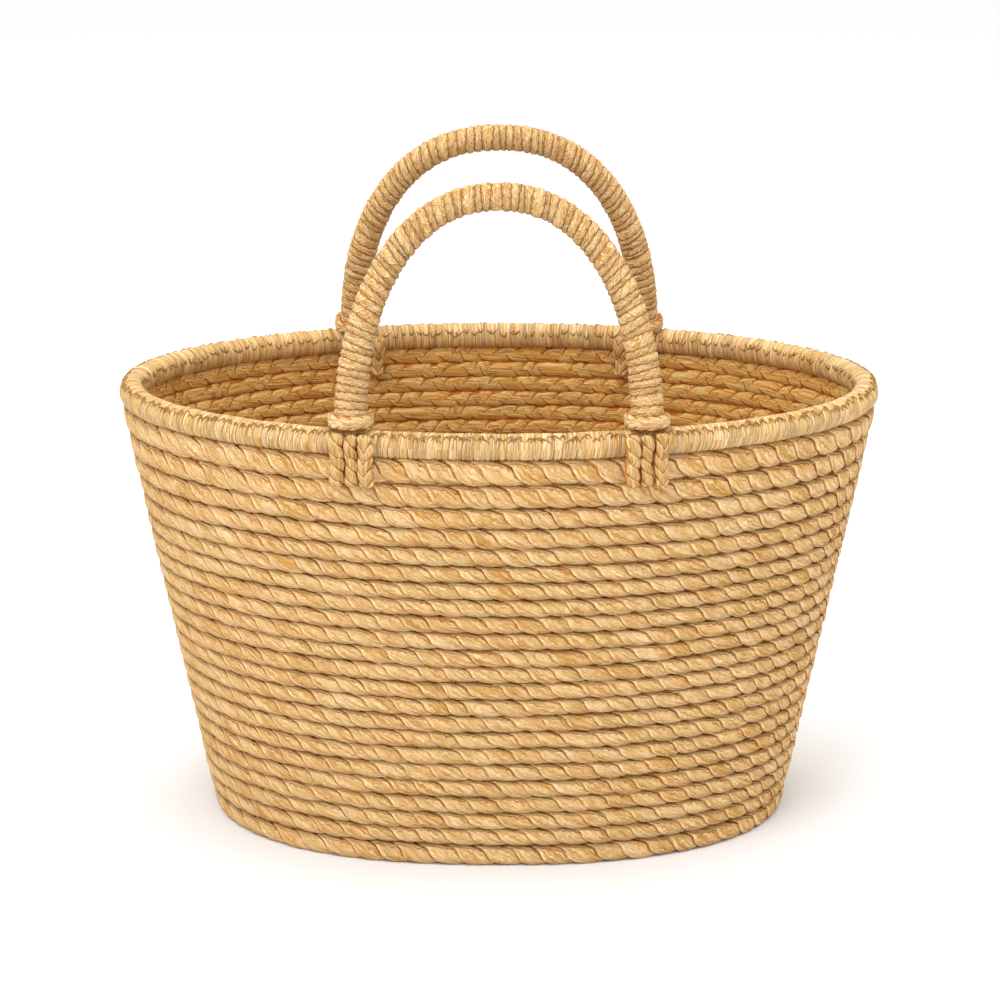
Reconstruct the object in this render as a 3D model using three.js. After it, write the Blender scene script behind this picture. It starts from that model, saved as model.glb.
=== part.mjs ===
// Straw basket bag: an oval basket of coiled straw rope with a rolled rim and two arched handles.
// Millimetres, and degrees where a name says so. +Z is up, the front faces -Y, and the base rests
// on Z = 0 under the origin.
import * as THREE from 'three';

// Basket
const rimLength = 400;
const rimWidth = 254;
const rimTube = 13.6;
const rimSides = 10;
const baseLength = 308;
const baseWidth = 232;
const wallHeight = 217.2;
const wallThickness = 9;
const rimProud = 0.8;
const basePower = 2.3;
const rimPower = 2;
const planSegments = 32;

// Coil rows of the wall: outside, the strands of the rows under the rim are spread wider
const edgeRowHeight = 11.3;
const outerRowsBelow = 17;
const outerRowsUnderRim = [1.29, 1.35, 1.2, 1.15, 1.06];
const innerRows = 25;
const outerGroove = 1.8;
const innerGroove = 1.4;

// Base
const baseThickness = 8;
const baseCorner = 5;
const cornerDegrees = [0, 45, 90];

// Handles
const handleTop = 350;
const handleLeanDegrees = 12.5;
const legDiameter = 17.2;
const archDiameter = 14.4;
const frontSpan = 147;
const backSpan = 160;
const frontPower = 2.17;
const backPower = 2.25;
const handleSides = 10;
const handleSteps = 26;

// Collars and ties
const collarWall = 2.5;
const collarHeight = 7;
const collarDip = 1.6;
const collarSides = 12;
const tieDiameter = 7;
const outerTieStartDegrees = 37;
const innerTieStartDegrees = 20;
const tieDrop = 13.2;
const tieSides = 6;
const tieSteps = 6;

// Clearances
const seatGap = 0.3;
const tieGap = 0.6;

// Colours
const strawGold = 0xd9b070;
const strawShade = 0xc79a58;
const strawPale = 0xe0bd82;

const wallStraw = new THREE.MeshStandardMaterial({ color: strawGold, roughness: 0.75, metalness: 0 });
const baseStraw = new THREE.MeshStandardMaterial({ color: strawShade, roughness: 0.8, metalness: 0 });
const rimStraw = new THREE.MeshStandardMaterial({ color: strawPale, roughness: 0.65, metalness: 0 });
const handleStraw = new THREE.MeshStandardMaterial({ color: strawPale, roughness: 0.65, metalness: 0 });
const tieStraw = new THREE.MeshStandardMaterial({ color: strawGold, roughness: 0.7, metalness: 0 });

const bag = new THREE.Group();

function addPiece(name, geometry, material, parent = bag) {
  const piece = new THREE.Mesh(geometry, material);
  piece.name = name;
  parent.add(piece);
}

// Plan ovals: half sizes of the rim's centreline and of the wall's outer face at a height

const rimPlan = {
  halfLength: (rimLength - rimTube) / 2,
  halfWidth: (rimWidth - rimTube) / 2,
  power: rimPower,
};
const rimLevel = wallHeight + seatGap + rimTube / 2;

function wallPlan(height) {
  const share = height / wallHeight;
  return {
    halfLength: THREE.MathUtils.lerp(baseLength / 2, rimLength / 2 - rimProud, share),
    halfWidth: THREE.MathUtils.lerp(baseWidth / 2, rimWidth / 2 - rimProud, share),
    power: THREE.MathUtils.lerp(basePower, rimPower, share),
  };
}

function signedPower(value, exponent) {
  return Math.sign(value) * Math.abs(value) ** exponent;
}

// An oval ring: a profile turned round as a circle of the oval's half width, then drawn out along X.
// A profile point is how far out from the plan's oval it lies, and its height.
function ovalRing(profile, planAt) {
  const points = profile.map(({ out, height }) => {
    return new THREE.Vector2(planAt(height).halfWidth + out, height);
  });
  const ring = new THREE.LatheGeometry(points, planSegments);
  const position = ring.getAttribute('position');
  const uv = ring.getAttribute('uv');
  for (let i = 0; i < position.count; i += 1) {
    const turn = 2 * Math.PI * uv.getX(i);
    const height = position.getY(i);
    const plan = planAt(height);
    const reach = Math.hypot(position.getX(i), position.getZ(i));
    const bend = 2 / plan.power;
    const x = (plan.halfLength + reach - plan.halfWidth) * signedPower(Math.cos(turn), bend);
    const y = reach * signedPower(Math.sin(turn), bend);
    position.setXYZ(i, x, y, height);
  }
  return ring;
}

// Base: a flat oval plate whose outermost coil row turns up into the rounded bottom edge

function cornerPoint(degrees) {
  const angle = THREE.MathUtils.degToRad(degrees);
  return {
    out: baseCorner * (Math.sin(angle) - 1),
    height: baseCorner * (1 - Math.cos(angle)),
  };
}

const centreOut = (height) => ({ out: -wallPlan(height).halfWidth, height });
const baseProfile = [
  centreOut(0),
  ...cornerDegrees.map(cornerPoint),
  { out: 0, height: edgeRowHeight - outerGroove },
  { out: -outerGroove, height: edgeRowHeight },
  { out: innerGroove - wallThickness, height: edgeRowHeight },
  { out: -wallThickness, height: baseThickness },
  centreOut(baseThickness),
];
addPiece('base', ovalRing(baseProfile, wallPlan), baseStraw);

// Wall: coil rows from the rim down, each a rib with a groove above it

const wallFoot = edgeRowHeight + seatGap;
const outerRowShares = [...outerRowsUnderRim, ...new Array(outerRowsBelow).fill(1)];
const innerRowShares = new Array(innerRows).fill(1);
const outerRib = [
  { down: 0, out: -outerGroove },
  { down: 0.3, out: 0 },
  { down: 0.78, out: 0 },
];
const innerRib = [
  { down: 0, out: innerGroove - wallThickness },
  { down: 0.5, out: -wallThickness },
];

function ribbedFace(rib, rowShares) {
  const shareTotal = rowShares.reduce((sum, share) => sum + share, 0);
  const face = [];
  let top = wallHeight;
  for (const share of rowShares) {
    const rowHeight = (share / shareTotal) * (wallHeight - wallFoot);
    for (const { down, out } of rib) {
      face.push({ out, height: top - down * rowHeight });
    }
    top -= rowHeight;
  }
  face.push({ out: rib[0].out, height: wallFoot });
  return face;
}

const outerFace = ribbedFace(outerRib, outerRowShares).reverse();
const innerFace = ribbedFace(innerRib, innerRowShares);
const wallProfile = [...outerFace, ...innerFace, outerFace[0]];
addPiece('wall', ovalRing(wallProfile, wallPlan), wallStraw);

// Rim: a round tube that follows the oval on top of the wall

const rimProfile = [];
for (let side = 0; side <= rimSides; side += 1) {
  const angle = (2 * Math.PI * side) / rimSides;
  rimProfile.push({
    out: (rimTube / 2) * Math.cos(angle),
    height: rimLevel + (rimTube / 2) * Math.sin(angle),
  });
}
addPiece('rim', ovalRing(rimProfile, () => rimPlan), rimStraw);

// A tube of round section along a curve, with a diameter that may change with the way along it

function tube(curve, sides, steps, diameterAt) {
  const section = new THREE.Shape();
  const startDiameter = diameterAt(0);
  for (let side = 0; side < sides; side += 1) {
    const angle = (2 * Math.PI * side) / sides;
    const x = (startDiameter / 2) * Math.cos(angle);
    const y = (startDiameter / 2) * Math.sin(angle);
    if (side === 0) {
      section.moveTo(x, y);
    } else {
      section.lineTo(x, y);
    }
  }
  const body = new THREE.ExtrudeGeometry(section, { steps, extrudePath: curve, bevelEnabled: false });
  const centres = curve.getSpacedPoints(steps);
  const position = body.getAttribute('position');
  const point = new THREE.Vector3();
  for (let i = 0; i < position.count; i += 1) {
    point.fromBufferAttribute(position, i);
    const distances = centres.map((centre) => centre.distanceTo(point));
    const nearest = distances.indexOf(Math.min(...distances));
    const swell = diameterAt(nearest / steps) / startDiameter;
    point.sub(centres[nearest]).multiplyScalar(swell).add(centres[nearest]);
    position.setXYZ(i, point.x, point.y, point.z);
  }
  return body;
}

// Handles: arches that stand on top of the rim and lean in over the opening, drawn in the XZ plane
// of a leaning frame whose origin lies on the rim's centreline

const leanAngle = THREE.MathUtils.degToRad(handleLeanDegrees);
const archTop = (handleTop - rimLevel) / Math.cos(leanAngle) - archDiameter / 2;

class Arch extends THREE.Curve {
  constructor(span, power, footLift) {
    super();
    this.span = span;
    this.power = power;
    this.footLift = footLift;
  }

  getPoint(t, target = new THREE.Vector3()) {
    const angle = Math.PI * t;
    const x = (this.span / 2) * signedPower(-Math.cos(angle), 2 / this.power);
    const rise = signedPower(Math.sin(angle), 2 / this.power);
    return target.set(x, 0, THREE.MathUtils.lerp(this.footLift, archTop, rise));
  }
}

// The legs are thicker than the top of the arch
function archDiameterAt(t) {
  return THREE.MathUtils.lerp(archDiameter, legDiameter, (2 * t - 1) ** 2);
}

const handles = [
  { side: 'front', toward: -1, span: frontSpan, power: frontPower },
  { side: 'back', toward: 1, span: backSpan, power: backPower },
];

// Where a foot stands on the rim's oval, and which way the rim faces there

function rimFoot(x, toward) {
  const { halfLength, halfWidth } = rimPlan;
  const y = toward * halfWidth * Math.sqrt(1 - (x / halfLength) ** 2);
  const outward = new THREE.Vector2(x / halfLength ** 2, y / halfWidth ** 2).normalize();
  return { x, y, outward };
}

// Ties: straw cords round the rim, down to the first coil row, outside and inside

const tieReach = (rimTube + tieDiameter) / 2 + tieGap;
const tieEnd = wallHeight - tieDrop;
const tieColumns = [
  { name: 'outer_left', across: -1, inside: false },
  { name: 'outer_middle', across: 0, inside: false },
  { name: 'outer_right', across: 1, inside: false },
  { name: 'inner_left', across: -1, inside: true },
  { name: 'inner_right', across: 1, inside: true },
];

// How far out from the rim's centreline the wall's outer face lies beside a foot, found in a few
// rounds by the slope
const slopeRounds = 5;

function wallOut(foot, height) {
  const { halfLength, halfWidth, power } = wallPlan(height);
  let out = 0;
  for (let round = 0; round < slopeRounds; round += 1) {
    const x = Math.abs(foot.x + out * foot.outward.x);
    const y = Math.abs(foot.y + out * foot.outward.y);
    const miss = (x / halfLength) ** power + (y / halfWidth) ** power - 1;
    const slopeX = (power / halfLength) * (x / halfLength) ** (power - 1) * Math.abs(foot.outward.x);
    const slopeY = (power / halfWidth) * (y / halfWidth) ** (power - 1) * Math.abs(foot.outward.y);
    out -= miss / (slopeX + slopeY);
  }
  return out;
}

// The ties cross the rim where their outer run comes to lie straight before the leg
function tieFoot(legFoot, toward) {
  return rimFoot(legFoot.x - legFoot.outward.x * tieReach, toward);
}

function tieCurve(foot, across, inside) {
  const side = inside ? -1 : 1;
  const seatAt = (height) => {
    const beyondWall = tieGap + tieDiameter / 2;
    return inside ? beyondWall + wallThickness - wallOut(foot, height) : beyondWall + wallOut(foot, height);
  };
  const seatTurn = Math.acos(Math.min(seatAt(wallHeight) / tieReach, 1));
  const start = THREE.MathUtils.degToRad(inside ? innerTieStartDegrees : outerTieStartDegrees);
  const points = [start, 0, -seatTurn / 2, -seatTurn].map((angle) => {
    const out = side * tieReach * Math.cos(angle);
    return new THREE.Vector3(across, out, rimLevel + tieReach * Math.sin(angle));
  });
  points.push(new THREE.Vector3(across, side * seatAt(tieEnd), tieEnd));
  return new THREE.CatmullRomCurve3(points);
}

// Collars: rings round the feet of the handles, square to the leaning legs, that dip over the
// rim's outside

// The ring's flats clear the round leg
const collarInner = (legDiameter / 2 + seatGap) / Math.cos(Math.PI / collarSides);
const collarOuter = collarInner + collarWall;

function collarRing(toward) {
  const profile = [
    new THREE.Vector2(collarInner, 0),
    new THREE.Vector2(collarOuter, 0),
    new THREE.Vector2(collarOuter, collarHeight),
    new THREE.Vector2(collarInner, collarHeight),
    new THREE.Vector2(collarInner, 0),
  ];
  const ring = new THREE.LatheGeometry(profile, collarSides).rotateX(Math.PI / 2);
  const position = ring.getAttribute('position');
  for (let i = 0; i < position.count; i += 1) {
    const reach = Math.hypot(position.getX(i), position.getY(i));
    const outside = Math.max((toward * position.getY(i)) / reach, 0);
    position.setZ(i, position.getZ(i) - collarDip * outside ** 2);
  }
  return ring;
}

// The height of a foot above the rim's centreline, where the rim bends away under a leaning leg
function footLiftAt(foot) {
  const bendAway = Math.abs(foot.outward.x / foot.outward.y);
  return rimTube / 2 + seatGap + collarOuter * bendAway * Math.sin(leanAngle);
}

for (const { side, toward, span, power } of handles) {
  const footLift = footLiftAt(rimFoot(span / 2, toward));
  const handleFrame = new THREE.Group();
  handleFrame.position.set(0, rimFoot(span / 2, toward).y, rimLevel);
  handleFrame.rotation.x = toward * leanAngle;
  bag.add(handleFrame);
  const arch = tube(new Arch(span, power, footLift), handleSides, handleSteps, archDiameterAt);
  addPiece(`handle_${side}`, arch, handleStraw, handleFrame);

  for (const { hand, x } of [{ hand: 'left', x: -span / 2 }, { hand: 'right', x: span / 2 }]) {
    const collar = collarRing(toward).translate(x, 0, footLift);
    addPiece(`collar_${side}_${hand}`, collar, handleStraw, handleFrame);

    const foot = tieFoot(rimFoot(x, toward), toward);
    const tieFrame = new THREE.Group();
    tieFrame.position.set(foot.x, foot.y, 0);
    tieFrame.rotation.z = Math.atan2(-foot.outward.x, foot.outward.y);
    bag.add(tieFrame);
    for (const { name, across, inside } of tieColumns) {
      const curve = tieCurve(foot, across * toward * (tieDiameter + seatGap), inside);
      const cord = tube(curve, tieSides, tieSteps, () => tieDiameter);
      addPiece(`tie_${side}_${hand}_${name}`, cord, tieStraw, tieFrame);
    }
  }
}

export default bag;
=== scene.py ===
"""A straw basket bag: coiled straw rope, a wrapped rim and two wound handles tied over it."""
import math

import bmesh
import bpy
import numpy as np
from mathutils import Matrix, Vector


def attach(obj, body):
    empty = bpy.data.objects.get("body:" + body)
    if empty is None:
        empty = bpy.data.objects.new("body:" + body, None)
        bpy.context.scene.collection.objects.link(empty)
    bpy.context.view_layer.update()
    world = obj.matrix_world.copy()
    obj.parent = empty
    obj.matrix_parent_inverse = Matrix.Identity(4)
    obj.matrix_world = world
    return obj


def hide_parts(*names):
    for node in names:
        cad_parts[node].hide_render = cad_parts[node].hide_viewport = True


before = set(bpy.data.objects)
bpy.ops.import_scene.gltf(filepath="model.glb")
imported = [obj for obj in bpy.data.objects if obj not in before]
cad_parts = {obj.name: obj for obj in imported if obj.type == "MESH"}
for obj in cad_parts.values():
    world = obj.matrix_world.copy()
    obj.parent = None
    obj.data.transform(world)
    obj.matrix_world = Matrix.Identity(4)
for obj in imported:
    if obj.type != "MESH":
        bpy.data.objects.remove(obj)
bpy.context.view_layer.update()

# ---------------------------------------------------------------------------------------------
# Base: an oval plate of straw rope, coiled flat from the middle out, whose last round stands up
# as the rounded bottom edge of the basket. The rounds are sewn together from inside.

MM = 0.001
WALL_HEIGHT = 217.2 * MM
RIM_PROUD = 0.8 * MM
BASE_HALF = (154 * MM, 116 * MM)
TOP_HALF = (200 * MM - RIM_PROUD, 127 * MM - RIM_PROUD)
BASE_POWER = 2.3
TOP_POWER = 2.0
WALL_THICKNESS = 9 * MM
EDGE_TOP = 11.3 * MM
BASE_THICKNESS = 8 * MM
BASE_ROUND = 9 * MM
BASE_OVERLAP = 0.3 * MM
EDGE_OVERLAP = 0.8 * MM
FLOOR_GAP = 0.1 * MM
PLIES = 2
ROPE_PITCH = 28 * MM
ROPE_FULLNESS = 2.8
ROPE_FULLNESS_ABOVE = 4.6
ROPE_GROOVE = 0.2
ROPE_FOLD = 0.07
STANDS_OUT = 0.7 * MM
SCALLOP = 0.9 * MM
draws = np.random.default_rng(7)


def plan_at(height):
    """Half length, half width and roundness of the basket's outside at a height."""
    share = height / WALL_HEIGHT
    half_length = BASE_HALF[0] + share * (TOP_HALF[0] - BASE_HALF[0])
    half_width = BASE_HALF[1] + share * (TOP_HALF[1] - BASE_HALF[1])
    return half_length, half_width, BASE_POWER + share * (TOP_POWER - BASE_POWER)


def signed_power(value, exponent):
    return np.sign(value) * np.abs(value) ** exponent


def oval(turn, half_length, half_width, power):
    return (half_length * signed_power(np.cos(turn), 2 / power),
            half_width * signed_power(np.sin(turn), 2 / power))


def oval_run(half_length, half_width, power):
    """Length of an oval, and the turn that lies at each length along it."""
    turn = np.linspace(0, 2 * np.pi, 4097)
    x, y = oval(turn, half_length, half_width, power)
    run = np.concatenate([[0], np.cumsum(np.hypot(np.diff(x), np.diff(y)))])
    return run[-1], lambda way: np.interp(way, run, turn)


def slow_wave(way, length, size, shortest, longest, count=6):
    """A smooth unevenness that closes on itself along a run of the given length."""
    total = np.zeros_like(way)
    for _ in range(count):
        rounds = max(1, round(length / draws.uniform(shortest, longest)))
        strength = draws.normal()
        phase = draws.uniform(0, 2 * np.pi)
        total += strength * np.sin(2 * np.pi * rounds * way / length + phase)
    return total * size / math.sqrt(count)


def roll_sheets(name, sheets):
    """One mesh from flat grid sheets, each rolled to its place. A sheet is how many faces long and
    round it is, and what gives the place and the strand coordinates of its corners."""
    whole = bmesh.new()
    whole.loops.layers.uv.new("straw")
    for faces_long, faces_round, place in sheets:
        sheet = bmesh.new()
        bmesh.ops.create_grid(sheet, x_segments=faces_long, y_segments=faces_round, size=0.5)
        flat = bpy.data.meshes.new("flat")
        sheet.to_mesh(flat)
        sheet.free()
        corners = np.empty(len(flat.vertices) * 3)
        flat.vertices.foreach_get("co", corners)
        corners = corners.reshape(-1, 3)
        at_loop = np.empty(len(flat.loops), dtype=np.int32)
        flat.loops.foreach_get("vertex_index", at_loop)
        points, strand = place(corners[:, 0] + 0.5, corners[:, 1] + 0.5, at_loop.reshape(-1, 4))
        flat.vertices.foreach_set("co", points.ravel())
        flat.uv_layers.new(name="straw").data.foreach_set("uv", strand.ravel())
        whole.from_mesh(flat)
        bpy.data.meshes.remove(flat)
    bmesh.ops.remove_doubles(whole, verts=whole.verts, dist=0.00002)
    bmesh.ops.dissolve_degenerate(whole, edges=whole.edges, dist=0.000001)
    bmesh.ops.recalc_face_normals(whole, faces=whole.faces)
    mesh = bpy.data.meshes.new(name)
    whole.to_mesh(mesh)
    whole.free()
    mesh.shade_smooth()
    piece = bpy.data.objects.new(name, mesh)
    bpy.context.scene.collection.objects.link(piece)
    return piece


def strand_map(way_turns, phase, corner_ids, number):
    """Strand coordinates of each face corner: turns of twist along, and plies counted across, so
    that every visible leaf of straw has a whole number of its own."""
    around = (2 / PLIES * phase[corner_ids] - 2 * way_turns[corner_ids]).mean(axis=1)
    shift = -PLIES * np.round(around / 2)
    u = way_turns[corner_ids] + 64 * number
    v = phase[corner_ids] + shift[:, None] + 64 * PLIES * number
    return np.stack([u, v], axis=-1)


def smooth_step(value, low, high):
    share = np.clip((value - low) / (high - low), 0, 1)
    return share * share * (3 - 2 * share)


def oval_normal(turn, half_length, half_width, power):
    ahead = oval(turn + 1e-4, half_length, half_width, power)
    behind = oval(turn - 1e-4, half_length, half_width, power)
    normal = np.stack([ahead[1] - behind[1], behind[0] - ahead[0]], axis=1)
    return normal / np.linalg.norm(normal, axis=1)[:, None]


def rope_round(number, height, half_height, depth, face_size=1.7 * MM, ply_faces=7, shrink=0.0,
               flat_lying=False):
    """One round of twisted rope along the basket's oval. Seen from outside or above, each ply lies
    over the one before. Its hidden side is plain."""
    half_length, half_width, power = plan_at(0 if flat_lying else height)
    half_length, half_width = half_length - shrink, half_width - shrink
    length, turn_at = oval_run(half_length, half_width, power)
    turns = max(2, round(length / ROPE_PITCH))
    leaves = PLIES * turns
    leaf_swell = draws.uniform(-1, 1, leaves)
    leaf_drop = draws.uniform(-1, 1, leaves)

    def place(along, across, corner_ids):
        way = along * length
        warp = slow_wave(way, length, 1.5 * MM, 22 * MM, 110 * MM)
        way_turns = (way + warp) / length * turns
        share = across * PLIES
        ply = np.minimum(np.floor(share + 1e-9), PLIES - 1)
        part = 0.5 - 0.5 * np.cos(np.pi * (share - ply))
        phase = ply + part
        around = 2 / PLIES * phase - 2 * way_turns
        around = around - 2 * np.round(around / 2)
        leaf = np.floor((around + 2 * way_turns) * PLIES / 2 + 1e-6).astype(int) % leaves
        sweep = np.pi * around
        seen = smooth_step(np.cos(sweep), -0.45, -0.05)
        belly = np.sin(np.pi * np.clip(part, 0, 1) ** 0.8) ** 0.42

        # The grooves between the leaves, the fold along each, and the rope's full outline
        fold_line = 0.02 + 0.2 * np.sqrt(np.clip(1 - part, 0, 1)) + 0.03 * leaf_drop[leaf]
        folded = smooth_step(around, fold_line - 0.02, fold_line + 0.06)
        folded = folded * smooth_step(part, 0, 0.12)
        relief = ROPE_GROOVE * (1 - belly) + ROPE_FOLD * folded + 0.05 * part
        relief = relief - 0.04 * leaf_swell[leaf] * belly
        radius = 1 - relief * seen
        full = np.where(np.sin(sweep) > 0, ROPE_FULLNESS_ABOVE, ROPE_FULLNESS)
        face = signed_power(np.cos(sweep), 2 / full) * radius
        rise = signed_power(np.sin(sweep), 2 / full) * (radius + 0.14 * (1 - seen))
        wave_out = slow_wave(way, length, 0.25 * MM, 40 * MM, 300 * MM)
        wave_up = slow_wave(way, length, 0.22 * MM, 50 * MM, 300 * MM)
        if flat_lying:
            plan = (half_length, half_width, power)
            reach, level = half_height * rise, height + depth / 2 * face
        else:
            hang = smooth_step(-np.sin(sweep), 0.3, 1.0)
            hang = hang * (belly * (1 + 0.4 * leaf_drop[leaf]) - 0.5)
            level = np.maximum(height + half_height * rise - SCALLOP * hang + wave_up, 0)
            plan = plan_at(level)
            reach = depth / 2 * (face - 1) - STANDS_OUT * rise * (0.2 + 0.8 * seen)
            reach = reach + wave_out - 0.2 * MM
        turn = turn_at(way)
        x, y = oval(turn, *plan)
        normal = oval_normal(turn, *plan)
        points = np.stack([x + normal[:, 0] * reach, y + normal[:, 1] * reach, level], axis=1)
        return points, strand_map(way_turns, phase, corner_ids, number)

    return round(length / face_size), ply_faces * PLIES, place


def straw_finish(name, dark, middle, light, leaf_long, leaf_high, fibre_lean=22.0,
                 joint_wide=0.07, joint_deep=1.0, joint_even=0.7, fold=0.0, crease_shade_depth=0.36,
                 tone_spread=0.08, row_shade_depth=0.9, upper_edge=0.52, rough=0.6):
    """Straw: each leaf has a tone of its own, fine creases run along it with painted shade in them,
    and the joints between the leaves are dark. The raised edge beside each joint gets a painted
    highlight, and the pits by the joints and the edges of each row get painted shade. Lengths are
    in millimetres, the lean of the creases in degrees."""
    material = bpy.data.materials.new(name)
    material.use_nodes = True
    nodes, links = material.node_tree.nodes, material.node_tree.links
    shader = nodes["Principled BSDF"]

    def node(kind, **settings):
        made = nodes.new(kind)
        for key, value in settings.items():
            setattr(made, key, value)
        return made

    def work(operation, *inputs):
        made = node("ShaderNodeMath", operation=operation)
        for slot, value in enumerate(inputs):
            if isinstance(value, (int, float)):
                made.inputs[slot].default_value = value
            else:
                links.new(value, made.inputs[slot])
        return made.outputs[0]

    def times(one, other):
        return work("MULTIPLY", one, other)

    def plus(one, other):
        return work("ADD", one, other)

    def minus(one, other):
        return work("SUBTRACT", one, other)

    def highest(one, other):
        return work("MAXIMUM", one, other)

    def ramp(value, low, high, from_value, to_value):
        made = node("ShaderNodeMapRange", interpolation_type="SMOOTHSTEP")
        links.new(value, made.inputs["Value"])
        limits = {"From Min": low, "From Max": high, "To Min": from_value, "To Max": to_value}
        for slot, number in limits.items():
            made.inputs[slot].default_value = number
        return made.outputs[0]

    def noise(place, scale, detail, distortion=0.0):
        made = node("ShaderNodeTexNoise", noise_dimensions="3D")
        links.new(place, made.inputs["Vector"])
        made.inputs["Scale"].default_value = scale
        made.inputs["Detail"].default_value = detail
        made.inputs["Roughness"].default_value = 0.6
        made.inputs["Distortion"].default_value = distortion
        return made.outputs[0]

    def place_at(along, across, deep):
        made = node("ShaderNodeCombineXYZ")
        for slot, value in enumerate((along, across, deep)):
            links.new(value, made.inputs[slot])
        return made.outputs[0]

    strand = node("ShaderNodeUVMap", uv_map="straw")
    parts = node("ShaderNodeSeparateXYZ")
    links.new(strand.outputs[0], parts.inputs[0])
    u, v = parts.outputs[0], parts.outputs[1]
    leaf, part = work("FLOOR", v), work("FRACT", v)
    around = minus(v, times(u, 2.0))
    own = node("ShaderNodeTexWhiteNoise", noise_dimensions="1D")
    links.new(leaf, own.inputs["W"])
    own_parts = node("ShaderNodeSeparateColor")
    links.new(own.outputs["Color"], own_parts.inputs[0])
    own_tone, own_line, own_fold = own_parts.outputs

    # Creases along each leaf, coarse and fine, with painted shade in them
    along = times(u, 2 * leaf_long)
    over = times(around, leaf_high)
    lean = math.radians(fibre_lean)
    fibre_way = minus(times(along, math.cos(lean)), times(over, math.sin(lean)))
    fibre_over = plus(times(along, math.sin(lean)), times(over, math.cos(lean)))
    own_place = times(leaf, 3.17)
    coarse = noise(place_at(times(fibre_way, 0.09), times(fibre_over, 0.62), own_place),
                   1.0, 2.0, 0.5)
    fine = noise(place_at(times(fibre_way, 0.15), times(fibre_over, 1.9), own_place),
                 1.0, 4.0, 0.3)
    # Painted shade in the creases: they darken the colour as well as the relief
    painted_crease_shade = ramp(work("PINGPONG", times(coarse, 6.0), 0.5), 0.0, 0.1, 1.0, 0.0)
    painted_fine_crease_shade = ramp(work("ABSOLUTE", minus(fine, 0.5)), 0.0, 0.06, 1.0, 0.0)
    streak = noise(place_at(times(fibre_way, 0.07), times(fibre_over, 1.05), own_place),
                   1.0, 2.0, 0.4)
    streak = minus(streak, 0.5)

    # Dark joints between the leaves, a painted highlight on the raised edge beside each, the folded
    # strip along its top, and painted shade in the pits by the joints and along the edges of each
    # row
    wander = times(minus(coarse, 0.5), 0.1)
    wavy_part = plus(part, times(wander, times(part, minus(1.0, part))))
    from_joint = minus(0.5, work("ABSOLUTE", minus(wavy_part, 0.5)))
    joint = times(ramp(from_joint, 0.0, joint_wide, 1.0, 0.0),
                  ramp(own_line, 0.0, 1.0, joint_deep * joint_even, joint_deep))
    # Painted highlight: the raised edge beside each joint is made lighter, as if lit
    painted_edge_highlight = times(ramp(wavy_part, joint_wide * 0.5, joint_wide * 1.1, 0.0, 1.0),
                 ramp(wavy_part, joint_wide * 1.3, joint_wide * 2.4, 1.0, 0.0))
    fold_line = plus(times(work("POWER", minus(1.0, part), 0.5), 0.2),
                     times(minus(own_fold, 0.5), 0.06))
    fold_off = minus(minus(around, 0.03), fold_line)
    fold_dark = times(ramp(work("ABSOLUTE", fold_off), 0.0, 0.03, 1.0, 0.0),
                      ramp(own_line, 0.12, 0.4, 0.3, 1.0))
    fold_dark = times(fold_dark, fold)
    # Painted shade along the top and bottom edge of each row, where the rows tuck under each other,
    # and in the pits by the joints near those edges
    row_edge_shade = highest(ramp(around, upper_edge, upper_edge + 0.06, 0.0, 1.0),
                       ramp(times(around, -1.0), 0.42, 0.49, 0.0, 1.0))
    pit_shade = times(ramp(work("ABSOLUTE", around), 0.24, 0.38, 0.0, 1.0),
                ramp(from_joint, 0.05, 0.2, 1.0, 0.0))

    # The dark joints and fold lines, together with the painted shade of the pits, creases and row
    # edges
    lines = highest(joint, fold_dark)
    lines = highest(lines, times(pit_shade, row_shade_depth))
    lines = highest(lines, times(painted_crease_shade, crease_shade_depth))
    lines = highest(lines, times(painted_fine_crease_shade, crease_shade_depth * 0.4))
    lines = highest(lines, times(row_edge_shade, row_shade_depth))

    where = node("ShaderNodeTexCoord")
    blotches = noise(where.outputs["Object"], 30.0, 3.0)
    tone = plus(times(minus(own_tone, 0.5), tone_spread * 2), 0.5)
    tone = plus(tone, times(minus(fine, 0.5), 0.6))
    tone = plus(tone, times(streak, 2.0))
    tone = plus(tone, times(minus(blotches, 0.5), 0.25))
    # The painted highlight on the raised edges lightens the tone
    tone = plus(tone, times(painted_edge_highlight, 0.5))
    shades = node("ShaderNodeValToRGB")
    links.new(tone, shades.inputs[0])
    band = shades.color_ramp
    band.elements[0].position, band.elements[0].color = 0.15, (*dark, 1)
    band.elements[1].position, band.elements[1].color = 0.9, (*light, 1)
    middle_stop = band.elements.new(0.5)
    middle_stop.color = (*middle, 1)

    # Darkens the colour at the dark joints and fold lines, and paints shade into the creases, pits
    # and row edges; its saturated brown also stands in for light bounced in the shade
    joint_and_shade_darkening = node("ShaderNodeMix", data_type="RGBA", blend_type="MULTIPLY")
    links.new(times(lines, 0.9), joint_and_shade_darkening.inputs["Factor"])
    links.new(shades.outputs[0], joint_and_shade_darkening.inputs["A"])
    joint_and_shade_darkening.inputs["B"].default_value = (0.50, 0.22, 0.03, 1)
    links.new(joint_and_shade_darkening.outputs["Result"], shader.inputs["Base Color"])

    links.new(ramp(fine, 0.3, 0.7, rough - 0.08, rough + 0.12), shader.inputs["Roughness"])
    shader.inputs["Specular IOR Level"].default_value = 0.04
    relief = plus(times(fine, 0.4), times(streak, 2.2))
    relief = minus(relief, times(lines, 0.8))
    if fold:
        relief = minus(relief, times(ramp(fold_off, -0.01, 0.03, 0.0, 1.0), 0.25))
    bump = node("ShaderNodeBump")
    bump.inputs["Strength"].default_value = 1.0
    bump.inputs["Distance"].default_value = 0.001
    links.new(relief, bump.inputs["Height"])
    links.new(bump.outputs[0], shader.inputs["Normal"])
    return material


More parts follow.
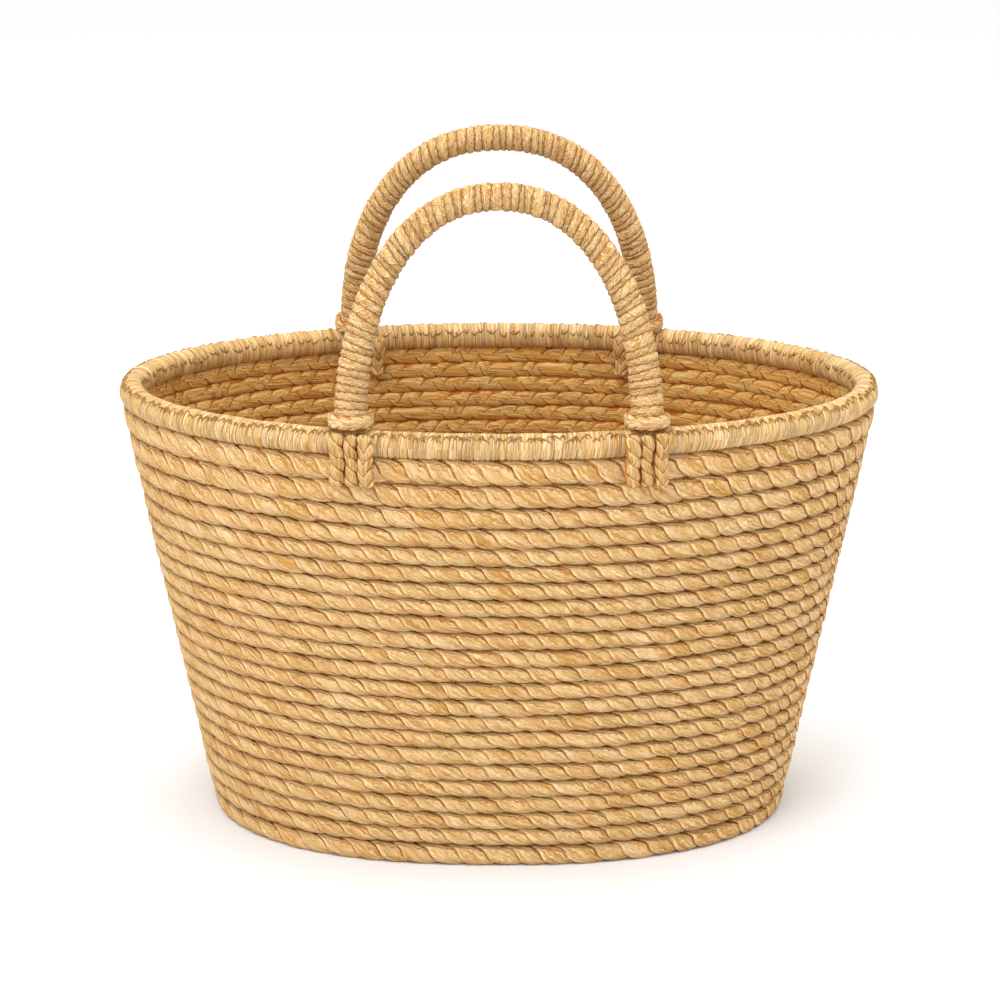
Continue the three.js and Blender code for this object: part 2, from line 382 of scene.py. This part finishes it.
STRAW_DARK = (0.63, 0.32, 0.075)
STRAW_MIDDLE = (0.84, 0.525, 0.225)
STRAW_LIGHT = (0.96, 0.70, 0.375)
rope_straw = straw_finish("rope_straw", STRAW_DARK, STRAW_MIDDLE, STRAW_LIGHT, leaf_long=14,
                          leaf_high=13, fold=0.9)

base_sheets = [rope_round(1, EDGE_TOP / 2, EDGE_TOP / 2 - FLOOR_GAP, WALL_THICKNESS)]
shrink = WALL_THICKNESS + BASE_ROUND / 2 - EDGE_OVERLAP
number = 2
while shrink < BASE_HALF[1] - 1 * MM:
    base_sheets.append(rope_round(number, BASE_THICKNESS / 2, BASE_ROUND / 2 + BASE_OVERLAP,
                                  BASE_THICKNESS, face_size=2.4 * MM, ply_faces=6, shrink=shrink,
                                  flat_lying=True))
    shrink += BASE_ROUND
    number += 1
base_coil = roll_sheets("base_coil", base_sheets)
base_coil.data.materials.append(rope_straw)
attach(base_coil, "root")
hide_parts("base")

# ---------------------------------------------------------------------------------------------
# Outside of the wall: twenty-two rounds of the same rope, sewn on top of each other, each a little
# wider than the one below. The rounds under the rim are spread taller.

ROUND_HEIGHTS = [1.29, 1.35, 1.2, 1.15, 1.06] + [1.0] * 17
ROUND_GROUPS = (("wall_rounds_top", 0, 7), ("wall_rounds_middle", 7, 14),
                ("wall_rounds_low", 14, 22))
FIRST_ROUND_NUMBER = 20
ROUND_DEPTH = 6.2 * MM
ROUND_OVERLAP = 1.02
SEAT_GAP = 0.3 * MM
WALL_FOOT = EDGE_TOP + SEAT_GAP
UNDER_RIM = 1.2 * MM
round_unit = (WALL_HEIGHT - WALL_FOOT) / sum(ROUND_HEIGHTS)
round_tops = WALL_HEIGHT - round_unit * np.concatenate([[0], np.cumsum(ROUND_HEIGHTS)])
for name, first, last in ROUND_GROUPS:
    sheets = []
    for index in range(first, last):
        top, bottom = round_tops[index], round_tops[index + 1]
        if index == 0:
            top += UNDER_RIM
        sheets.append(rope_round(FIRST_ROUND_NUMBER + index, (top + bottom) / 2,
                                 (top - bottom) / 2 * ROUND_OVERLAP, ROUND_DEPTH))
    rounds = roll_sheets(name, sheets)
    rounds.data.materials.append(rope_straw)
    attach(rounds, "root")
    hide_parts("wall")

# ---------------------------------------------------------------------------------------------
# Inside of the wall: the same rounds seen from within, where the sewing pulls the straw into plump
# plaited leaves that lie nearly level in two tiers, so that twenty-five rounds show.

INNER_ROUNDS = 25
INNER_GROUPS = (("inside_rounds_top", 0, 12), ("inside_rounds_low", 12, 25))
INNER_LEAF = 13 * MM
INNER_LEAF_SLANT = 0.42
INNER_DEPTH = 4.6 * MM
INNER_OVERLAP = 1.06
INNER_FACE_SIZE = 2.2 * MM
INNER_FACES_ROUND = 14
# The inside's straw colours are lighter and more saturated than the outside's: painted light,
# standing in for the light bounced about inside the basket
INNER_DARK = (0.72, 0.335, 0.065)
INNER_MIDDLE = (0.97, 0.545, 0.16)
INNER_LIGHT = (1.0, 0.74, 0.30)
inner_straw = straw_finish("inner_straw", INNER_DARK, INNER_MIDDLE, INNER_LIGHT, leaf_long=13,
                           leaf_high=12, fibre_lean=10, joint_wide=0.13, crease_shade_depth=0.4,
                           tone_spread=0.14, upper_edge=0.47)


def plait_round(number, height, half_height):
    """One round as it shows inside: an upper and a lower tier of leaves that grip each other."""
    length, turn_at = oval_run(*plan_at(height))
    leaves = round(length / INNER_LEAF)
    leaf_swell = draws.uniform(-1, 1, 2 * leaves)

    def place(along, across, corner_ids):
        way = along * length
        count = (way + slow_wave(way, length, 3.2 * MM, 26 * MM, 70 * MM)) / length * leaves
        sweep = 2 * np.pi * across - np.pi
        side = np.sin(sweep)
        seen = smooth_step(np.cos(sweep), -0.3, 0.1)
        crossing = 0.4 * np.sin(2 * np.pi * count) + slow_wave(way, length, 0.2, 24 * MM, 80 * MM)
        upper = side > crossing
        slant = INNER_LEAF_SLANT * (side - crossing)
        leaf = np.where(upper, count - slant, count + 0.5 + slant)
        belly = np.abs(np.sin(np.pi * leaf)) ** 0.5
        own = (2 * np.floor(leaf) + upper).astype(int) % (2 * leaves)
        grip = np.exp(-((side - crossing) / 0.16) ** 2)
        radius = 1 - (0.3 * (1 - belly) + 0.2 * grip + 0.14 * leaf_swell[own] * belly) * seen
        face = signed_power(np.cos(sweep), 0.9) * radius
        rise = signed_power(side, 0.9) * (radius + 0.12 * (1 - seen))
        level = height + half_height * rise + slow_wave(way, length, 0.3 * MM, 50 * MM, 300 * MM)
        wave_in = slow_wave(way, length, 0.35 * MM, 40 * MM, 300 * MM)
        reach = -WALL_THICKNESS - (INNER_DEPTH / 2 * (face - 1) + wave_in - 0.4 * MM)
        turn = turn_at(length - way)
        plan = plan_at(level)
        x, y = oval(turn, *plan)
        normal = oval_normal(turn, *plan)
        points = np.stack([x + normal[:, 0] * reach, y + normal[:, 1] * reach, level], axis=1)
        face_upper = upper[corner_ids].mean(axis=1)[:, None] > 0.5
        slant = slant[corner_ids]
        strand = count[corner_ids] + np.where(face_upper, -slant, 0.5 + slant + 256)
        strand = strand + 512 * number
        return points, np.stack([(strand - side[corner_ids] * 0.5) / 2, strand], axis=-1)

    return round(length / INNER_FACE_SIZE), INNER_FACES_ROUND, place


inner_unit = (WALL_HEIGHT - WALL_FOOT) / INNER_ROUNDS
for name, first, last in INNER_GROUPS:
    sheets = []
    for index in range(first, last):
        height = WALL_HEIGHT - inner_unit * (index + 0.5)
        half_height = inner_unit / 2 * INNER_OVERLAP
        if index == 0:
            height, half_height = height + UNDER_RIM / 2, half_height + UNDER_RIM / 2
        sheets.append(plait_round(index + 1, height, half_height))
    rounds = roll_sheets(name, sheets)
    rounds.data.materials.append(inner_straw)
    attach(rounds, "root")
    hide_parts("wall")

# ---------------------------------------------------------------------------------------------
# Rim: a round straw core on top of the wall, wrapped square to its run with flat straw strips
# that lie in bundles, and two lines of small darker locking loops along its top.

RIM_TUBE = 6.8 * MM
RIM_HALF = (200 * MM - RIM_TUBE, 127 * MM - RIM_TUBE)
RIM_LEVEL = WALL_HEIGHT + SEAT_GAP + RIM_TUBE
RIM_BUNDLE = 3.1 * MM
RIM_BUNDLE_STEPS = 5
RIM_FACES_ROUND = 20
RIM_SLANT = 0.7 * MM
rim_straw = straw_finish("rim_straw", (0.68, 0.36, 0.09), (0.88, 0.56, 0.235), (0.98, 0.78, 0.47),
                         leaf_long=3.9, leaf_high=28, fibre_lean=86, joint_wide=0.1,
                         crease_shade_depth=0.3, tone_spread=0.04, joint_deep=0.8, joint_even=0.3,
                         row_shade_depth=0.0, rough=0.5)
rim_length, rim_turn_at = oval_run(*RIM_HALF, TOP_POWER)
bundle_count = round(rim_length / RIM_BUNDLE)
bundle_widths = draws.uniform(0.5, 1.6, bundle_count)
bundle_depths = draws.uniform(0.15, 1.0, bundle_count + 1)
bundle_edges = np.concatenate([[0], np.cumsum(bundle_widths)]) / bundle_widths.sum() * rim_length


def rim_frame(way):
    """Place and outward direction on the rim's centreline."""
    turn = rim_turn_at(way % rim_length)
    x, y = oval(turn, *RIM_HALF, TOP_POWER)
    outward = np.stack([x / RIM_HALF[0] ** 2, y / RIM_HALF[1] ** 2], axis=1)
    outward /= np.linalg.norm(outward, axis=1)[:, None]
    return np.stack([x, y], axis=1), outward


def wrap_rim(along, across, corner_ids):
    """The wrapping of the rim, in bundles of strips with a groove between each two."""
    bundle = along * bundle_count
    way = np.interp(bundle, np.arange(bundle_count + 1), bundle_edges)
    sweep = 2 * np.pi * across
    way = way + 0.5 * MM * np.sin(sweep) + slow_wave(way, rim_length, 0.35 * MM, 20 * MM, 60 * MM)
    way = way + RIM_SLANT * np.clip(np.sin(sweep), 0, 1) * np.sin(2.6 * bundle)
    part = bundle - np.floor(bundle)
    belly = np.abs(np.sin(np.pi * part)) ** 0.5
    depth = bundle_depths[np.round(bundle).astype(int) % bundle_count]
    under = smooth_step(np.cos(sweep + np.radians(65)), 0.3, 0.9)
    radius = RIM_TUBE - (0.3 + 0.5 * under) * MM * depth * (1 - belly)
    radius = radius + slow_wave(way, rim_length, 0.12 * MM, 6 * MM, 40 * MM)
    place, outward = rim_frame(way)
    points = np.stack([place[:, 0] + outward[:, 0] * radius * np.cos(sweep),
                       place[:, 1] + outward[:, 1] * radius * np.cos(sweep),
                       RIM_LEVEL + radius * np.sin(sweep)], axis=1)
    own = np.floor(bundle[corner_ids].mean(axis=1))[:, None]
    v = own + np.clip(bundle[corner_ids] - own, 0.001, 0.999)
    around = (across[corner_ids] - 0.5) * 0.5
    return points, np.stack([(v - around) / 2, v], axis=-1)


rim_wrap = roll_sheets("rim_wrap", [(bundle_count * RIM_BUNDLE_STEPS, RIM_FACES_ROUND, wrap_rim)])
rim_wrap.data.materials.append(rim_straw)
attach(rim_wrap, "root")
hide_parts("rim")

LOOP_STEPS = 8
LOOP_SIDES = 5
LOOP_THICK = 0.55 * MM
LOOP_LINES = ((32, 32, 2.6 * MM), (138, 32, 4.2 * MM))
LOOP_DARK = (0.40, 0.18, 0.035)
LOOP_MIDDLE = (0.60, 0.31, 0.085)
LOOP_LIGHT = (0.80, 0.50, 0.19)
loop_straw = straw_finish("loop_straw", LOOP_DARK, LOOP_MIDDLE, LOOP_LIGHT,
                          leaf_long=3.9, leaf_high=28, joint_deep=0.0, row_shade_depth=0.0)


def rim_loop(start, number, lowest, tallest):
    """A small arch of straw on the rim's surface, its feet tucked under the wrapping."""
    lean = draws.uniform(-1.5, 1.5)
    wide = draws.uniform(0.9, 2.0) * MM
    tall = math.radians(draws.uniform(0.6, 1.0) * tallest)
    low = math.radians(lowest + draws.uniform(-10, 10))
    thick_here = LOOP_THICK * draws.uniform(0.75, 1.15)

    def place(along, across, corner_ids):
        swing = np.pi * along
        side = 2 * np.pi * across
        thick = thick_here * np.sqrt(np.clip(np.sin(swing), 0, 1))
        way = start - wide * np.cos(swing) + lean * wide * np.sin(swing)
        way = way - thick * np.sin(side) * np.cos(swing)
        reach = RIM_TUBE - 0.15 * MM + 0.25 * MM * np.sin(swing) + thick * np.cos(side)
        angle = low + tall * np.sin(swing) + thick * np.sin(side) * np.sin(swing) / RIM_TUBE
        centre, outward = rim_frame(way)
        points = np.stack([centre[:, 0] + outward[:, 0] * reach * np.cos(angle),
                           centre[:, 1] + outward[:, 1] * reach * np.cos(angle),
                           RIM_LEVEL + reach * np.sin(angle)], axis=1)
        v = number + 0.5 + 0.46 * np.sin(side[corner_ids])
        return points, np.stack([v / 2 + along[corner_ids] * 0.2, v], axis=-1)

    return LOOP_STEPS, LOOP_SIDES, place


loops = []
for lowest, tallest, apart in LOOP_LINES:
    way = 0.0
    while way < rim_length - 2 * MM:
        loops.append(rim_loop(way, len(loops), lowest, tallest))
        way += draws.uniform(0.7, 1.3) * apart
rim_loops = roll_sheets("rim_loops", loops)
rim_loops.data.materials.append(loop_straw)
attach(rim_loops, "root")

# ---------------------------------------------------------------------------------------------
# Handles: stiff straw arches that stand on the rim, wound tight with one long twisted straw cord,
# whose bands lie level at the feet and tilt outwards on the way up.

LEAN = math.radians(12.5)
HANDLE_TOP = 350 * MM
ARCH_DIAMETER = 14.4 * MM
LEG_DIAMETER = 17.2 * MM
ARCH_TOP = (HANDLE_TOP - RIM_LEVEL) / math.cos(LEAN) - ARCH_DIAMETER / 2
HANDLES = (("front", -1, 147 * MM, 2.17), ("back", 1, 160 * MM, 2.25))
COLLAR_INNER = 9.2 * MM
COLLAR_OUTER = 11.7 * MM
BAND = 4.3 * MM
BAND_STEPS = 6
BAND_LEAVES = 9
BAND_GROOVE = 0.95 * MM
LEAF_GROOVE = 0.4 * MM
BAND_TILT = 2.2 * MM
HANDLE_FACES_ROUND = 32
HANDLE_DARK = (0.62, 0.33, 0.085)
HANDLE_MIDDLE = (0.88, 0.56, 0.24)
HANDLE_LIGHT = (1.0, 0.77, 0.44)
handle_straw = straw_finish("handle_straw", HANDLE_DARK, HANDLE_MIDDLE, HANDLE_LIGHT,
                            leaf_long=10.5, leaf_high=4.8, fibre_lean=0, joint_wide=0.1,
                            joint_deep=0.6, joint_even=0.3, upper_edge=0.42)


def rim_foot(x, toward):
    """Where a foot stands on the rim's centreline, and the rim's outward direction there."""
    y = toward * RIM_HALF[1] * math.sqrt(1 - (x / RIM_HALF[0]) ** 2)
    outward = Vector((x / RIM_HALF[0] ** 2, y / RIM_HALF[1] ** 2)).normalized()
    return Vector((x, y)), outward


def foot_lift(span, toward):
    """How far the feet start above the rim's centreline, so that the leaning collars clear it."""
    outward = rim_foot(span / 2, toward)[1]
    return RIM_TUBE + SEAT_GAP + COLLAR_OUTER * abs(outward.x / outward.y) * math.sin(LEAN)


def lean_out(points, span, toward):
    """From the handle's own upright plane to its leaning place on the rim."""
    stand = rim_foot(span / 2, toward)[0].y
    lean = toward * LEAN
    y = points[:, 1] * math.cos(lean) - points[:, 2] * math.sin(lean)
    z = points[:, 1] * math.sin(lean) + points[:, 2] * math.cos(lean)
    return np.stack([points[:, 0], y + stand, z + RIM_LEVEL], axis=1)


def wind_handle(side, toward, span, power):
    """One handle: an arch of bands, each a turn of the cord with leaves that slant across it."""
    share = np.linspace(0, 1, 2001)
    arch_x = span / 2 * signed_power(-np.cos(np.pi * share), 2 / power)
    lift = foot_lift(span, toward)
    arch_z = lift + (ARCH_TOP - lift) * signed_power(np.sin(np.pi * share), 2 / power)
    run = np.concatenate([[0], np.cumsum(np.hypot(np.diff(arch_x), np.diff(arch_z)))])
    length = run[-1]
    bands = round(length / BAND)
    band_swell = draws.uniform(-1, 1, bands + 1)
    turn_about = np.where(np.arange(bands + 1) % 2 == 0, 1, -1)
    band_hand = turn_about * np.where(draws.random(bands + 1) < 0.8, 1, -1)
    band_start = draws.random(bands + 1)
    band_widths = draws.uniform(0.7, 1.3, bands)
    band_edges = np.concatenate([[0], np.cumsum(band_widths)]) / band_widths.sum() * length

    def place(along, across, corner_ids):
        rows = along * bands
        whole = np.minimum(np.floor(rows), bands - 1)
        part = rows - whole
        band = whole + 0.5 - 0.5 * np.cos(np.pi * part)
        sweep = 2 * np.pi * across
        straight = np.interp(band, np.arange(bands + 1), band_edges)
        middle = 2 * straight / length - 1
        from_foot = 1 - np.abs(middle)
        tilt = -np.tanh(middle * 5) * np.clip(from_foot / 0.45, 0, 1) * BAND_TILT
        sway = 0.5 * MM * np.sin(sweep + 2.4 * np.round(rows)) * np.clip(4 * from_foot, 0, 1)
        way = np.clip(straight + tilt * np.sin(sweep) + sway, 0, length)
        x = np.interp(way, run, arch_x)
        z = np.interp(way, run, arch_z)
        step = 0.5 * MM
        dx = np.interp(way + step, run, arch_x) - np.interp(way - step, run, arch_x)
        dz = np.interp(way + step, run, arch_z) - np.interp(way - step, run, arch_z)
        size = np.hypot(dx, dz)
        out_x, out_z = -dz / size, dx / size
        diameter = ARCH_DIAMETER + (LEG_DIAMETER - ARCH_DIAMETER) * (2 * way / length - 1) ** 2
        own = np.clip(whole, 0, bands).astype(int)
        belly = np.abs(np.sin(np.pi * (band - whole))) ** 0.6
        leaf = BAND_LEAVES * across + band_start[own] + band_hand[own] * (band - whole)
        leaf_part = leaf - np.floor(leaf)
        leaf_belly = np.abs(np.sin(np.pi * leaf_part)) ** 0.6
        radius = diameter / 2 + 0.15 * MM - BAND_GROOVE * (1 - belly)
        radius = radius - LEAF_GROOVE * (1 - leaf_belly) * belly
        radius = radius + 0.2 * MM * band_swell[own] * belly
        radius = np.where((along <= 0) | (along >= 1), 0, radius)
        points = np.stack([x + out_x * radius * np.sin(sweep), -radius * np.cos(sweep),
                           z + out_z * radius * np.sin(sweep)], axis=1)
        face_band = np.floor(rows[corner_ids].mean(axis=1)).astype(int)
        part_here = band[corner_ids] - face_band[:, None]
        v = (BAND_LEAVES * across[corner_ids] + band_start[face_band][:, None]
             + band_hand[face_band][:, None] * part_here + 64 * face_band[:, None])
        around = part_here - 0.5
        return lean_out(points, span, toward), np.stack([(v - around) / 2, v], axis=-1)

    handle = roll_sheets("handle_" + side + "_wound",
                         [(bands * BAND_STEPS, HANDLE_FACES_ROUND, place)])
    handle.data.materials.append(handle_straw)
    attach(handle, "root")
    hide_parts("handle_" + side)


for side, toward, span, power in HANDLES:
    wind_handle(side, toward, span, power)

# ---------------------------------------------------------------------------------------------
# Collars: a plaited straw ring round the foot of each leg, where the winding ends. It hides the
# knots of the cords below it.

COLLAR_HEIGHT = 7 * MM
COLLAR_DIP = 1.6 * MM
COLLAR_LEAVES = 11
COLLAR_FACES = (108, 16)
COLLAR_REACH = (COLLAR_INNER + COLLAR_OUTER) / 2 - 0.35 * MM
PLAIT_HALF_DEPTH = 1.75 * MM
PLAIT_HALF_HEIGHT = 3.7 * MM
PLAIT_GROOVE = 0.35 * MM


def plait_collar(side, hand, toward, span):
    """One ring of leaves that meet in a groove along its middle, lower on the rim's outer side."""

    def place(along, across, corner_ids):
        turn = 2 * np.pi * along
        sweep = 2 * np.pi * across
        leaf = COLLAR_LEAVES * along + np.abs(np.sin(sweep))
        leaf_belly = np.abs(np.sin(np.pi * leaf)) ** 0.6
        swell = 1 - 0.2 * (1 - leaf_belly)
        middle = np.exp(-(np.sin(sweep) / 0.25) ** 2) * (np.cos(sweep) > 0)
        reach = COLLAR_REACH + PLAIT_HALF_DEPTH * np.cos(sweep) * swell - PLAIT_GROOVE * middle
        height = COLLAR_HEIGHT / 2 + PLAIT_HALF_HEIGHT * np.sin(sweep) * swell
        height = height - COLLAR_DIP * np.clip(toward * np.sin(turn), 0, 1) ** 2
        x = (-1 if hand == "left" else 1) * span / 2 + reach * np.cos(turn)
        points = np.stack([x, reach * np.sin(turn), foot_lift(span, toward) + height], axis=1)
        v = COLLAR_LEAVES * along[corner_ids] + np.abs(np.sin(sweep[corner_ids]))
        around = np.sin(sweep[corner_ids]) * 0.5
        return lean_out(points, span, toward), np.stack([(v - around) / 2, v], axis=-1)

    collar = roll_sheets("collar_" + side + "_" + hand + "_plaited", [(*COLLAR_FACES, place)])
    collar.data.materials.append(handle_straw)
    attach(collar, "root")
    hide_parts("collar_" + side + "_" + hand)


for side, toward, span, _ in HANDLES:
    for hand in ("left", "right"):
        plait_collar(side, hand, toward, span)

# ---------------------------------------------------------------------------------------------
# Ties: twisted straw cords that hold each handle down, three over the rim's outside and two over
# its inside, tucked into the wall below the first round.

TIE_THICK = 3.5 * MM
TIE_GAP = 0.6 * MM
OUTER_TIE_FROM = math.radians(37)
INNER_TIE_FROM = math.radians(20)
TIE_END = WALL_HEIGHT - 13.2 * MM
TIE_LEAF = 6.4 * MM
TIE_COLUMNS = (("outer_left", -1, 1), ("outer_middle", 0, 1), ("outer_right", 1, 1),
               ("inner_left", -1, -1), ("inner_right", 1, -1))
TIE_APART = 2 * TIE_THICK + SEAT_GAP
TIE_FACES = (48, 16)
TIE_ROUNDED_END = 2.6 * MM
MIDDLE_TIE_RECESS = 0.9 * MM
tie_straw = straw_finish("tie_straw", (0.60, 0.31, 0.085), (0.81, 0.49, 0.18), (0.95, 0.69, 0.34),
                         leaf_long=6.4, leaf_high=7, fibre_lean=0, joint_wide=0.11, joint_deep=0.8)


def wall_out(foot, outward, height):
    """How far out from the rim's centreline the wall's outside lies beside a foot."""
    half_length, half_width, power = plan_at(height)
    low, high = -20 * MM, 20 * MM
    for _ in range(30):
        middle = (low + high) / 2
        x, y = abs(foot.x + middle * outward.x), abs(foot.y + middle * outward.y)
        if (x / half_length) ** power + (y / half_width) ** power < 1:
            low = middle
        else:
            high = middle
    return middle


def lay_tie(side, hand, toward, span, column, across_by, outer):
    """One cord, chained or twisted, from below a collar over the rim to its tucked end."""
    reach = RIM_TUBE + TIE_THICK + TIE_GAP
    leg, outward = rim_foot((-1 if hand == "left" else 1) * span / 2, toward)
    foot, outward = rim_foot(leg.x - outward.x * reach, toward)
    sideways = Vector((outward.y, -outward.x)) * toward
    beyond = TIE_GAP + TIE_THICK

    def seat(height):
        out = wall_out(foot, outward, height)
        return beyond + out if outer > 0 else beyond + WALL_THICKNESS - out

    seat_turn = math.acos(min(seat(WALL_HEIGHT) / reach, 1))
    angles = np.linspace(OUTER_TIE_FROM if outer > 0 else INNER_TIE_FROM, -seat_turn, 24)
    route_out = list(reach * np.cos(angles))
    route_up = list(RIM_LEVEL + reach * np.sin(angles))
    for height in np.linspace(route_up[-1], TIE_END, 8)[1:]:
        route_out.append(seat(height))
        route_up.append(height)
    route = np.array([route_out, route_up])
    run = np.concatenate([[0], np.cumsum(np.hypot(*np.diff(route)))])
    length = run[-1]
    begin = draws.random()
    hand_of_twist = draws.choice([-1, 1])
    number = draws.integers(1, 400)
    chained = draws.random() < 0.5
    recess = MIDDLE_TIE_RECESS if column == "outer_middle" else 0.0
    fatter = 1.0 if column == "outer_middle" else 1.1

    def leaf_at(way, across):
        sweep = 2 * np.pi * across
        slant = 0.7 * np.abs(np.sin(sweep)) if chained else 2 * hand_of_twist * across
        return way / TIE_LEAF + begin + slant

    def place(along, across, corner_ids):
        way = along * length
        sweep = 2 * np.pi * across
        out = np.interp(way, run, route[0])
        up = np.interp(way, run, route[1])
        step = 0.5 * MM
        d_out, d_up = (np.interp(way + step, run, line) - np.interp(way - step, run, line)
                       for line in route)
        size = np.hypot(d_out, d_up)
        normal_out, normal_up = -d_up / size, d_out / size
        leaf = leaf_at(way, across)
        leaf_belly = np.abs(np.sin(np.pi * leaf)) ** 0.6
        radius = TIE_THICK * fatter * (1 - 0.22 * (1 - leaf_belly))
        if chained:
            middle = np.exp(-(np.sin(sweep) / 0.3) ** 2) * (np.cos(sweep) > 0)
            radius = radius * (1 - 0.16 * middle)
        end = np.clip((length - way) / TIE_ROUNDED_END, 0, 1)
        start = np.clip(way / TIE_ROUNDED_END, 0, 1)
        radius = radius * np.sqrt(1 - (1 - end) ** 2) * np.sqrt(1 - (1 - start) ** 2)
        out = out + normal_out * (radius * np.cos(sweep) - recess)
        up = up + normal_up * (radius * np.cos(sweep) - recess)
        sway = 0.45 * MM * np.sin(2 * np.pi * (way / (17 * MM) + begin))
        beside = across_by * TIE_APART + radius * np.sin(sweep) + sway
        points = np.stack([foot.x + outer * outward.x * out + sideways.x * beside,
                           foot.y + outer * outward.y * out + sideways.y * beside, up], axis=1)
        v = leaf_at(way[corner_ids], across[corner_ids]) + 32 * number
        around = np.sin(sweep[corner_ids]) * 0.5
        return points, np.stack([(v - around) / 2, v], axis=-1)

    node = "tie_" + side + "_" + hand + "_" + column
    cord = roll_sheets(node + "_cord", [(*TIE_FACES, place)])
    cord.data.materials.append(tie_straw)
    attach(cord, "root")
    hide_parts(node)


for side, toward, span, _ in HANDLES:
    for hand in ("left", "right"):
        for column, across_by, outer in TIE_COLUMNS:
            lay_tie(side, hand, toward, span, column, across_by, outer)

# ---------------------------------------------------------------------------------------------
# Floor, light and camera: a plain white floor under soft studio light, seen from the front and
# a little from above.

bpy.ops.mesh.primitive_plane_add(size=12, location=(0, 0, 0))
floor = bpy.context.object
floor.name = "floor"
floor_paint = bpy.data.materials.new("floor_paint")
floor_paint.use_nodes = True
floor_shader = floor_paint.node_tree.nodes["Principled BSDF"]
floor_shader.inputs["Base Color"].default_value = (0.80, 0.80, 0.80, 1)
floor_shader.inputs["Roughness"].default_value = 0.9
floor.data.materials.append(floor_paint)

world = bpy.data.worlds.new("studio")
bpy.context.scene.world = world
world.use_nodes = True
world.node_tree.nodes["Background"].inputs["Color"].default_value = (1, 1, 1, 1)
world.node_tree.nodes["Background"].inputs["Strength"].default_value = 1.12
bpy.context.scene.view_settings.view_transform = "Standard"

for name, place, aim, size, power in (
        ("key", (-0.7, -1.2, 2.0), (0, 0, 0.1), 1.6, 23),
        ("top", (0.2, 0.3, 2.4), (0, 0, 0.1), 1.8, 22)):
    lamp = bpy.data.lights.new(name, "AREA")
    lamp.shape = "DISK"
    lamp.size = size
    lamp.energy = power
    holder = bpy.data.objects.new(name, lamp)
    holder.location = place
    holder.rotation_euler = (Vector(aim) - Vector(place)).to_track_quat("-Z", "Y").to_euler()
    bpy.context.scene.collection.objects.link(holder)

CAMERA_AIM = Vector((0.0005, 0, 0.1625))
CAMERA_AWAY = 1.8
CAMERA_ABOVE = math.radians(16.1)
camera = bpy.data.cameras.new("camera")
camera.sensor_width = 36
camera.lens = 121.57
camera_object = bpy.data.objects.new("camera", camera)
camera_way = Vector((0, -math.cos(CAMERA_ABOVE), math.sin(CAMERA_ABOVE)))
camera_object.location = CAMERA_AIM + CAMERA_AWAY * camera_way
camera_object.rotation_euler = (math.pi / 2 - CAMERA_ABOVE, 0, 0)
bpy.context.scene.collection.objects.link(camera_object)
bpy.context.scene.camera = camera_object
